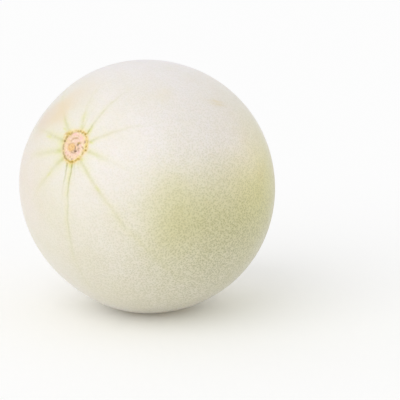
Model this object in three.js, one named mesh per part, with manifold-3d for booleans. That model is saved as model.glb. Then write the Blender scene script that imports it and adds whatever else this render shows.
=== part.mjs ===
// Honeydew melon: one whole fruit, lying on its ground spot with the stem end
// raised towards the front (-Y). Millimetres, +Z up. The origin is on the
// surface that the fruit rests on, under the middle of its bounding box.
//
// The fruit grew as one piece, so it is one closed solid: a slightly long
// spheroid with a few low swellings and hollows, a sunken corky scar with a
// raised rim where the stem slipped off, a small button at the blossom end,
// and a flat ground spot.

import * as THREE from 'three';
import { mergeVertices } from 'three/addons/utils/BufferGeometryUtils.js';
import Module from 'manifold-3d';

// ---- driving dimensions, mm and degrees -----------------------------------

const EQUATOR_RADIUS = 75;      // half of the 150 mm equatorial diameter
const HALF_LENGTH = 79;         // centre to stem end, before the scar sinks in
const STEM_RISE = 27.6;         // stem axis above the horizontal, towards -Y
const CENTRE_HEIGHT = 74.4;     // centre of the spheroid above the surface

const STEM_DIMPLE = { depth: 0.9, width: 15 };              // soft hollow round the scar
const SCAR_DEPTH = 0.8;                                      // floor inside the corky ring
const SCAR_CORE = { x: -2.3, y: -1.35, a: 2.95, b: 2.75, height: 0.35 }; // bundle core
// The corky ring is not round: the angle from +X, then its inner and outer radius.
const SCAR_RING = [
  [0, 6.0, 8.6], [14, 6.3, 8.4], [28, 6.6, 8.5], [44, 7.1, 8.9], [60, 7.5, 9.2],
  [75, 7.7, 9.15], [90, 8.0, 9.1], [105, 8.35, 9.2], [122, 8.55, 9.7], [136, 8.3, 10.4],
  [147, 8.4, 10.9], [158, 8.4, 9.9], [168, 8.4, 8.95], [185, 8.2, 8.6], [205, 8.2, 8.6],
  [222, 8.25, 9.0], [236, 8.7, 9.5], [248, 8.9, 10.1], [262, 8.8, 10.4], [278, 8.3, 10.3],
  [292, 7.8, 9.7], [306, 7.1, 9.4], [318, 6.8, 8.6], [330, 6.6, 8.4], [345, 6.3, 8.9],
];
// Small pits and splits in the cork: x, y, radius, depth.
const SCAR_PITS = [
  [0.7, -3.2, 0.95, 0.35], [1.5, 0.7, 0.85, 0.25], [0.4, -1.4, 0.7, 0.18],
  [2.6, -1.7, 0.9, 0.15], [-1.6, 4.3, 0.9, 0.14], [-3.4, 3.4, 0.8, 0.1],
];

const BLOSSOM_DIMPLE = { depth: 0.9, width: 11 };
const BLOSSOM_BUTTON = { height: 0.75, inner: 3.3, outer: 4.9 };
const BLOSSOM_PIT = { depth: 0.5, width: 1.4 };

// Low swellings (+) and hollows (-) of the grown fruit: the angle from the
// stem, the angle round the stem axis from +X, the height and the spread.
const LOBES = [
  { polar: 50, round: 194, height: 0.75, spread: 13 },
  { polar: 47, round: 150, height: -0.6, spread: 15 },
  { polar: 77, round: 247, height: -0.6, spread: 14 },
  { polar: 97, round: 275, height: 0.45, spread: 13 },
  { polar: 92, round: 62, height: 0.3, spread: 18 },
  { polar: 128, round: 20, height: -0.5, spread: 24 },
  { polar: 120, round: 150, height: 0.4, spread: 26 },
  { polar: 146, round: 96, height: -0.35, spread: 20 },
  { polar: 70, round: 330, height: -0.3, spread: 22 },
];

// ---- mesh density ------------------------------------------------------------

const SEGMENTS = 72;
// The mesh rings of the stem end follow the corky ring: first shares of its
// inner radius, then places across it (0 inner edge, 1 outer edge), and last
// plain distances from the stem axis, mm.
const FLOOR_RINGS = [0.16, 0.32, 0.48, 0.64, 0.8, 0.93];
const RIM_RINGS = [0.06, 0.36, 0.66, 1.0];
const STEM_RINGS = [12.2, 14.4, 17.2, 21];
const BLOSSOM_RINGS = [22, 17, 12.5, 8.6, 6, 4.9, 4.1, 3.2, 1.6];
const GROUND_FACE_RADIUS = 12;   // corners of the central triangle of the ground spot
const BODY_STEP = 5.2;          // degrees between the rings of the body

const RAD = Math.PI / 180;

function smoothstep(a, b, x) {
  const t = Math.min(1, Math.max(0, (x - a) / (b - a)));
  return t * t * (3 - 2 * t);
}

const lobes = LOBES.map(({ polar, round, height, spread }) => ({
  dir: new THREE.Vector3(
    Math.sin(polar * RAD) * Math.cos(round * RAD),
    Math.sin(polar * RAD) * Math.sin(round * RAD),
    Math.cos(polar * RAD),
  ),
  height,
  spread: spread * RAD,
}));

// Inner and outer radius of the corky ring at an angle round the stem axis.
function scarRing(phi) {
  const angle = ((phi / RAD) % 360 + 360) % 360;
  const n = SCAR_RING.length;
  let i = n - 1;
  while (i > 0 && SCAR_RING[i][0] > angle) i--;
  const [from, in0, out0] = SCAR_RING[i];
  const [to, in1, out1] = SCAR_RING[(i + 1) % n];
  const t = smoothstep(0, 1, (angle - from) / ((to - from + 360) % 360));
  return { inner: in0 + (in1 - in0) * t, outer: out0 + (out1 - out0) * t };
}

// Height of the skin over the plain spheroid, along its normal. `dir` is the
// direction on the unit sphere, with the stem axis along +Z.
function relief(dir) {
  let h = 0;
  for (const lobe of lobes) {
    const angle = Math.acos(Math.min(1, Math.max(-1, dir.dot(lobe.dir))));
    h += lobe.height * Math.exp(-0.5 * (angle / lobe.spread) ** 2);
  }
  const x = EQUATOR_RADIUS * dir.x;
  const y = EQUATOR_RADIUS * dir.y;
  const rho = Math.hypot(x, y);
  if (dir.z > 0) {
    const { inner, outer } = scarRing(Math.atan2(y, x));
    const width = outer - inner;
    h -= STEM_DIMPLE.depth * Math.exp(-((rho / STEM_DIMPLE.width) ** 2));
    h -= SCAR_DEPTH * (1 - smoothstep(inner - 0.45, inner + 0.15, rho));
    if (rho > inner && rho < outer) {
      h += (0.14 + 0.16 * width) * Math.sin((Math.PI * (rho - inner)) / width) ** 0.8;
    }
    const core = Math.hypot((x - SCAR_CORE.x) / SCAR_CORE.a, (y - SCAR_CORE.y) / SCAR_CORE.b);
    h += SCAR_CORE.height * (1 - smoothstep(0.6, 1.1, core));
    for (const [px, py, radius, depth] of SCAR_PITS) {
      h -= depth * Math.exp(-((Math.hypot(x - px, y - py) / radius) ** 2));
    }
  } else {
    h -= BLOSSOM_DIMPLE.depth * Math.exp(-((rho / BLOSSOM_DIMPLE.width) ** 2));
    h += BLOSSOM_BUTTON.height * (1 - smoothstep(BLOSSOM_BUTTON.inner, BLOSSOM_BUTTON.outer, rho));
    h -= BLOSSOM_PIT.depth * Math.exp(-((rho / BLOSSOM_PIT.width) ** 2));
  }
  return h;
}

// A point of the skin in the fruit's own axes: stem along +Z.
function skin(theta, phi) {
  const dir = new THREE.Vector3(
    Math.sin(theta) * Math.cos(phi),
    Math.sin(theta) * Math.sin(phi),
    Math.cos(theta),
  );
  const point = new THREE.Vector3(EQUATOR_RADIUS * dir.x, EQUATOR_RADIUS * dir.y, HALF_LENGTH * dir.z);
  const normal = new THREE.Vector3(dir.x / EQUATOR_RADIUS, dir.y / EQUATOR_RADIUS, dir.z / HALF_LENGTH).normalize();
  return point.addScaledVector(normal, relief(dir));
}

// ---- the closed skin, ring by ring from the stem to the blossom end ----------

// Each ring is a function from the angle round the axis to the angle off it.
const atRadius = (radius) => (phi) => Math.asin(radius(phi) / EQUATOR_RADIUS);
const level = (theta) => () => theta;
const rings = [];
for (const share of FLOOR_RINGS) rings.push(atRadius((phi) => share * scarRing(phi).inner));
for (const place of RIM_RINGS) {
  rings.push(atRadius((phi) => {
    const { inner, outer } = scarRing(phi);
    return inner + place * (outer - inner);
  }));
}
for (const rho of STEM_RINGS) rings.push(atRadius(() => rho));
const lastStem = rings[rings.length - 1](0);
const firstBlossom = Math.PI - Math.asin(BLOSSOM_RINGS[0] / EQUATOR_RADIUS);
const bodyCount = Math.round((firstBlossom - lastStem) / (BODY_STEP * RAD));
for (let i = 1; i < bodyCount; i++) {
  rings.push(level(lastStem + ((firstBlossom - lastStem) * i) / bodyCount));
}
for (const rho of BLOSSOM_RINGS) rings.push(level(Math.PI - Math.asin(rho / EQUATOR_RADIUS)));

const positions = [...skin(0, 0).toArray()];
for (const theta of rings) {
  for (let j = 0; j < SEGMENTS; j++) {
    const phi = (2 * Math.PI * j) / SEGMENTS;
    positions.push(...skin(theta(phi), phi).toArray());
  }
}
positions.push(...skin(Math.PI, 0).toArray());

const last = positions.length / 3 - 1;
const ring = (i, j) => 1 + i * SEGMENTS + (j % SEGMENTS);
const indices = [];
for (let j = 0; j < SEGMENTS; j++) indices.push(0, ring(0, j), ring(0, j + 1));
for (let i = 0; i + 1 < rings.length; i++) {
  for (let j = 0; j < SEGMENTS; j++) {
    const a = ring(i, j), b = ring(i + 1, j), c = ring(i + 1, j + 1), d = ring(i, j + 1);
    if ((i + j) % 2) indices.push(a, b, c, a, c, d);
    else indices.push(a, b, d, b, c, d);
  }
}
for (let j = 0; j < SEGMENTS; j++) {
  indices.push(last, ring(rings.length - 1, j + 1), ring(rings.length - 1, j));
}

const skinGeometry = new THREE.BufferGeometry();
skinGeometry.setAttribute('position', new THREE.Float32BufferAttribute(positions, 3));
skinGeometry.setIndex(indices);

// Lay the fruit down: its +X stays, its stem axis (+Z) goes to -Y and up.
const rise = STEM_RISE * RAD;
const lay = new THREE.Matrix4().makeBasis(
  new THREE.Vector3(1, 0, 0),
  new THREE.Vector3(0, Math.sin(rise), Math.cos(rise)),
  new THREE.Vector3(0, -Math.cos(rise), Math.sin(rise)),
);
lay.setPosition(0, 0, CENTRE_HEIGHT);
skinGeometry.applyMatrix4(lay);

// ---- the ground spot: everything under the resting surface is cut away --------

const wasm = await Module();
wasm.setup();

function toSolid(geometry) {
  const g = geometry.clone();
  g.deleteAttribute('normal');
  g.deleteAttribute('uv');
  const merged = mergeVertices(g, 1e-5);
  return new wasm.Manifold(new wasm.Mesh({
    numProp: 3,
    vertProperties: new Float32Array(merged.attributes.position.array),
    triVerts: new Uint32Array(merged.index.array),
  }));
}

// The cut leaves the ground spot as one flat outline at z = 0. Its face is laid
// again as a central triangle with a strip round it out to the outline.
function layGroundSpot({ vertProperties, triVerts }) {
  const position = [...vertProperties];
  const z = (i) => Math.abs(position[3 * i + 2]);
  const kept = [];
  const edges = new Map();
  for (let t = 0; t < triVerts.length; t += 3) {
    const tri = [triVerts[t], triVerts[t + 1], triVerts[t + 2]];
    if (tri.every((i) => z(i) < 1e-4)) {
      tri.forEach((i, k) => edges.set(`${i},${tri[(k + 1) % 3]}`, [i, tri[(k + 1) % 3]]));
    } else {
      kept.push(...tri);
    }
  }
  const next = new Map();
  for (const [i, j] of edges.values()) if (!edges.has(`${j},${i}`)) next.set(i, j);
  const loop = [next.keys().next().value];
  while (next.get(loop[loop.length - 1]) !== loop[0]) loop.push(next.get(loop[loop.length - 1]));

  let cx = 0, cy = 0;
  for (const i of loop) {
    cx += position[3 * i] / loop.length;
    cy += position[3 * i + 1] / loop.length;
  }
  const inner = [0, 1, 2].map((k) => {
    const angle = (-90 - 120 * k) * RAD;
    position.push(cx + GROUND_FACE_RADIUS * Math.cos(angle), cy + GROUND_FACE_RADIUS * Math.sin(angle), 0);
    return position.length / 3 - 1;
  });
  const nearest = (i) => {
    const angle = Math.atan2(position[3 * i + 1] - cy, position[3 * i] - cx) / RAD;
    return Math.round((((-90 - angle) % 360 + 360) % 360) / 120) % 3;
  };
  for (let k = 0; k < loop.length; k++) {
    const u = loop[k], v = loop[(k + 1) % loop.length];
    const a = inner[nearest(u)], b = inner[nearest(v)];
    kept.push(u, v, a);
    if (a !== b) kept.push(v, b, a);
  }
  kept.push(...inner);
  return { position, index: kept };
}

function toGeometry(solid) {
  const { position, index } = layGroundSpot(solid.getMesh());
  const g = new THREE.BufferGeometry();
  g.setAttribute('position', new THREE.Float32BufferAttribute(position, 3));
  g.setIndex(index);
  return g;
}

const above = new THREE.BoxGeometry(240, 240, 200);
above.translate(0, 0, 100);
const melonGeometry = toGeometry(toSolid(skinGeometry).intersect(toSolid(above)));

// Put the middle of the bounding box over the origin.
melonGeometry.computeBoundingBox();
const middle = melonGeometry.boundingBox.getCenter(new THREE.Vector3());
melonGeometry.translate(-middle.x, -middle.y, 0);
melonGeometry.computeVertexNormals();

const rind = new THREE.MeshStandardMaterial({ color: 0xe9e6cc, roughness: 0.42, metalness: 0 });
const melon = new THREE.Mesh(melonGeometry, rind);
melon.name = 'melon';

const fruit = new THREE.Group();
fruit.add(melon);

export default fruit;
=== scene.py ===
# Honeydew melon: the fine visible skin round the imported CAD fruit.
# Metres in Blender; the shape functions below work in millimetres.
import math
import bpy
import numpy as np
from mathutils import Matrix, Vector


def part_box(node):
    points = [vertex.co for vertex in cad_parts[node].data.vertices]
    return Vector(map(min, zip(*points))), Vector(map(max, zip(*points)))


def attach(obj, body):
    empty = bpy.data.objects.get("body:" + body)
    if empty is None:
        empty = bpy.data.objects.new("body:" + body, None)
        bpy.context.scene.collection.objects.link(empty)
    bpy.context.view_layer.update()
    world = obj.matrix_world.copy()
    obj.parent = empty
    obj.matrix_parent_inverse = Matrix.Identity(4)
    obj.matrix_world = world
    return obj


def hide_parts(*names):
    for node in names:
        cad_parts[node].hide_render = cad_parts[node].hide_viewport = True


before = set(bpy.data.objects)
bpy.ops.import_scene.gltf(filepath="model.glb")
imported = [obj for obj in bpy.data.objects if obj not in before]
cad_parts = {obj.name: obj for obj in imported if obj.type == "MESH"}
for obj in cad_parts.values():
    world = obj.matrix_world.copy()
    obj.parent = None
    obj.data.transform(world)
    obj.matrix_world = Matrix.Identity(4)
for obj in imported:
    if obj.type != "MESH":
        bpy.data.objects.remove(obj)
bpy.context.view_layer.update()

RAD = math.pi / 180.0

# ----------------------------------------------------------------------------
# Driving dimensions, the same as the CAD fruit's (mm, degrees)
# ----------------------------------------------------------------------------
EQUATOR_R = 75.0
HALF_LEN = 79.0
STEM_RISE = 27.6
CENTRE_Z = 74.4

LOBES = (  # polar, round, height, spread
    (50, 194, 0.75, 13), (47, 150, -0.6, 15), (77, 247, -0.6, 14),
    (97, 275, 0.45, 13), (92, 62, 0.3, 18), (128, 20, -0.5, 24),
    (120, 150, 0.4, 26), (146, 96, -0.35, 20), (70, 330, -0.3, 22),
)

# the radiating bundles: round angle, sideways shift at the scar and 30 mm
# further out, line strength near the scar, how fast that falls, lasting
# strength, where it ends, line width, band strength near the scar, lasting
# band strength, band width
VEINS = (
    (134, 0.6, 0.6, 9, 4, 10, 68, 1.25, 28, 18, 2.8),
    (97, -0.4, 1.2, 9, 5, 5.0, 44, 1.05, 16, 9, 2.6),
    (82, 1.6, 1.9, 4, 4, 2.5, 24, 0.8, 4, 3, 1.4),
    (69, -0.8, 1.0, 30, 4, 10, 44, 0.90, 34, 9, 2.2),
    (32, -1.2, -0.6, 16, 4, 7.2, 46, 1.15, 24, 6, 2.0),
    (350, -1.4, -1.1, 10, 5, 3.8, 42, 1.7, 18, 6, 2.8),
    (314, -2.0, -2.0, 14, 4, 8.5, 82, 1.2, 26, 12.5, 2.8),
    (269, 0.25, -0.2, 44, 5, 16, 74, 0.80, 14, 8, 2.4),
    (269, -1.4, -1.6, 0, 5, 0, 60, 1.0, 30, 10, 1.5),
    (269, -3.5, -4.4, 68, 6, 7, 32, 0.72, 6, 4, 1.4),
    (283, -0.6, -0.6, 14, 3.5, 2.0, 24, 0.6, 0, 0, 1.6),
    (293, -0.4, -0.2, 11, 3.5, 1.5, 24, 0.6, 0, 0, 1.6),
    (224, 1.3, 0.9, 13, 5, 8.5, 44, 1.5, 20, 15, 2.8),
    (189, 2.4, 2.2, 16, 4, 7.0, 40, 1.8, 28, 17, 3.2),
    (165, 1.0, 1.1, 26, 4, 9.5, 52, 1.3, 26, 21, 3.0),
)
VEIN_X0, VEIN_Y0 = 1.5, 0.0     # where the bundles meet under the scar

# ----------------------------------------------------------------------------
# Repeatable noise
# ----------------------------------------------------------------------------
class Noise:
    """Gradient noise on a hashed lattice, about -1 to 1."""

    def __init__(self, seed):
        rng = np.random.RandomState(seed)
        self.perm = rng.permutation(256)
        g = rng.normal(size=(256, 3))
        self.grad = g / np.linalg.norm(g, axis=1, keepdims=True)

    def _hash(self, i, j, k):
        p = self.perm
        return p[(p[(p[i & 255] + j) & 255] + k) & 255]

    def __call__(self, p):
        f0 = np.floor(p)
        f = p - f0
        i = f0.astype(np.int64)
        w = f * f * f * (f * (f * 6 - 15) + 10)
        out = np.zeros(len(p))
        for dx in (0, 1):
            wx = w[:, 0] if dx else 1 - w[:, 0]
            for dy in (0, 1):
                wy = w[:, 1] if dy else 1 - w[:, 1]
                for dz in (0, 1):
                    wz = w[:, 2] if dz else 1 - w[:, 2]
                    g = self.grad[self._hash(i[:, 0] + dx, i[:, 1] + dy, i[:, 2] + dz)]
                    d = f - np.array((dx, dy, dz), float)
                    out += wx * wy * wz * (g * d).sum(1)
        return out * 1.6

    def fbm(self, p, octaves=3, gain=0.5):
        total, amp, norm = np.zeros(len(p)), 1.0, 0.0
        for _ in range(octaves):
            total += amp * self(p)
            norm += amp
            amp *= gain
            p = p * 2.03 + 17.3
        return total / norm


def smoothstep(a, b, x):
    t = np.clip((x - a) / (b - a), 0.0, 1.0)
    return t * t * (3 - 2 * t)


def bump(x, width):
    return np.exp(-((x / width) ** 2))


def along(points, x, y):
    """Distance from each (x, y) to a polyline, and how far along it that is (0 to 1)."""
    pts = np.array(points, float)
    best = np.full(len(x), 1e9)
    place = np.zeros(len(x))
    seg = np.linalg.norm(np.diff(pts, axis=0), axis=1)
    run = np.concatenate([[0], np.cumsum(seg)]) / seg.sum()
    for k in range(len(pts) - 1):
        a, b = pts[k], pts[k + 1]
        ab = b - a
        t = np.clip(((x - a[0]) * ab[0] + (y - a[1]) * ab[1]) / (ab @ ab), 0, 1)
        d = np.hypot(x - a[0] - t * ab[0], y - a[1] - t * ab[1])
        near = d < best
        best[near] = d[near]
        place[near] = (run[k] + t * (run[k + 1] - run[k]))[near]
    return best, place


# ----------------------------------------------------------------------------
# The stem scar: a flat corky disc in an uneven golden ring
# ----------------------------------------------------------------------------
def closed_curve(table, soft):
    """A smooth closed curve through (degrees, mm) pairs, as a lookup table."""
    a, r = np.array(table, float).T
    grid = np.arange(0, 360, 1.0)
    v = np.interp(grid, a, r, period=360)
    k = np.arange(-30, 31)
    w = np.exp(-0.5 * (k / soft) ** 2)
    w /= w.sum()
    return np.array([(v[(i + k) % 360] * w).sum() for i in range(360)])


# inner and outer edge of the corky ring, mm from the stem axis, and how golden it is
RING_IN = closed_curve((
    (0, 6.0), (12, 6.3), (25, 6.6), (36, 6.8), (48, 7.2), (60, 7.5), (75, 7.7), (90, 8.0), (102, 8.3),
    (115, 8.5), (126, 8.6), (137, 8.3), (146, 8.4), (155, 8.4), (166, 8.4), (174, 8.3),
    (187, 8.2), (201, 8.2), (213, 8.1), (225, 8.3), (236, 8.7), (248, 8.9), (258, 8.9), (268, 8.7),
    (280, 8.3), (290, 7.9), (300, 7.4), (311, 6.9), (325, 6.7), (340, 6.4)), 3.5)
RING_OUT = closed_curve((
    (0, 8.6), (14, 8.4), (28, 8.5), (44, 8.9), (54, 9.2), (66, 9.2), (84, 9.1), (105, 9.2), (122, 9.7),
    (136, 10.7), (147, 11.3), (158, 10.4), (168, 9.1), (185, 8.6), (205, 8.6), (222, 9.0),
    (236, 9.5), (248, 10.1), (262, 10.4), (278, 10.3), (292, 9.7), (306, 9.4), (318, 8.6),
    (330, 8.4), (342, 8.9), (352, 9.0)), 3.5)
RING_GOLD = closed_curve((
    (0, 0.95), (14, 0.9), (28, 0.75), (44, 0.8), (60, 1.0), (80, 0.9), (100, 0.65), (120, 0.6), (138, 0.95),
    (152, 0.9), (164, 0.5), (190, 0.30), (215, 0.38), (232, 0.6), (250, 0.85), (275, 1.0), (300, 0.9),
    (315, 0.65), (330, 0.6), (345, 0.8)), 4.0)


def on_curve(curve, phi):
    a = np.degrees(phi) % 360
    i = np.floor(a).astype(int) % 360
    f = a - np.floor(a)
    return curve[i] * (1 - f) + curve[(i + 1) % 360] * f


CRACKS = (  # points in the scar plane (mm), width, depth, darkness
    (((-3.9, 3.0), (-3.3, 3.6), (-2.5, 4.1), (-1.6, 4.45), (-0.6, 4.6), (0.2, 4.45)), 0.62, 0.20, 0.20),
    (((-0.4, 5.9), (0.4, 5.6), (1.0, 5.5)), 0.40, 0.06, 0.12),
    (((0.05, -0.4), (0.35, -1.2), (0.6, -2.0), (0.7, -2.8)), 0.36, 0.30, 0.72),
    (((-2.1, -3.7), (-1.5, -4.3), (-0.2, -4.45), (1.2, -4.4)), 0.48, 0.14, 0.36),
    (((-1.6, -3.3), (-0.8, -3.0), (0.1, -3.0)), 0.40, 0.10, 0.30),
    (((2.1, -1.8), (2.6, -1.3), (3.5, -1.2)), 0.52, 0.18, 0.42),
    (((2.2, -1.8), (2.6, -2.5), (3.2, -3.1)), 0.46, 0.16, 0.42),
    (((4.5, -0.15), (5.2, -0.6), (6.1, -1.2)), 0.42, 0.18, 0.48),
    (((7.2, -1.5), (7.9, -1.9), (8.7, -2.25)), 0.42, 0.16, 0.50),
    (((5.5, 3.6), (5.8, 2.8), (5.95, 2.1)), 0.50, 0.16, 0.50),
    (((4.9, 6.3), (5.6, 5.95), (6.0, 5.4)), 0.40, 0.12, 0.36),
    (((6.2, -3.0), (6.3, -3.7), (6.1, -4.6)), 0.56, 0.18, 0.55),
    (((-7.0, 5.2), (-7.5, 4.4), (-7.85, 3.5), (-8.2, 2.6)), 0.44, 0.14, 0.50),
    (((-8.3, 2.5), (-8.5, 1.8), (-8.45, 1.2)), 0.50, 0.16, 0.72),
    (((-8.45, 0.3), (-8.45, -0.8), (-8.25, -2.0), (-7.9, -3.4)), 0.36, 0.14, 0.58),
    (((-7.5, -4.4), (-6.8, -5.6), (-6.0, -6.4)), 0.36, 0.16, 0.56),
    (((-6.0, -6.3), (-5.4, -7.1), (-4.7, -7.9), (-3.8, -8.4), (-2.8, -8.8)), 0.46, 0.20, 0.66),
    (((-5.4, 6.5), (-5.0, 7.2), (-4.5, 7.8)), 0.48, 0.12, 0.42),
    (((1.7, 7.7), (2.4, 7.95), (3.4, 8.35)), 0.42, 0.12, 0.42),
    (((2.9, -8.9), (3.7, -8.45)), 0.40, 0.10, 0.50),
)
PITS = (  # x, y, radius, depth, darkness
    (0.60, -3.28, 0.82, 0.50, 1.0),
    (1.50, -3.15, 0.62, 0.32, 0.85),
    (1.50, 0.62, 0.70, 0.32, 0.92),
    (-0.05, -8.20, 0.52, 0.25, 0.62),
    (0.70, 8.72, 0.42, 0.14, 0.50),
    (4.70, 7.25, 0.55, 0.12, 0.30),
    (-6.10, 6.30, 0.60, 0.06, 0.08),
    (0.90, -9.60, 0.60, 0.10, 0.22),
    (-5.6, -4.8, 0.50, 0.08, 0.16),
    (-3.7, -6.2, 0.55, 0.06, 0.14),
    (-1.75, -7.0, 0.50, 0.06, 0.18),
    (-4.0, 2.45, 0.50, 0.08, 0.28),
    (-4.6, 0.10, 0.60, 0.08, 0.24),
    (7.35, 0.35, 0.50, 0.12, 0.40),
)
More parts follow.
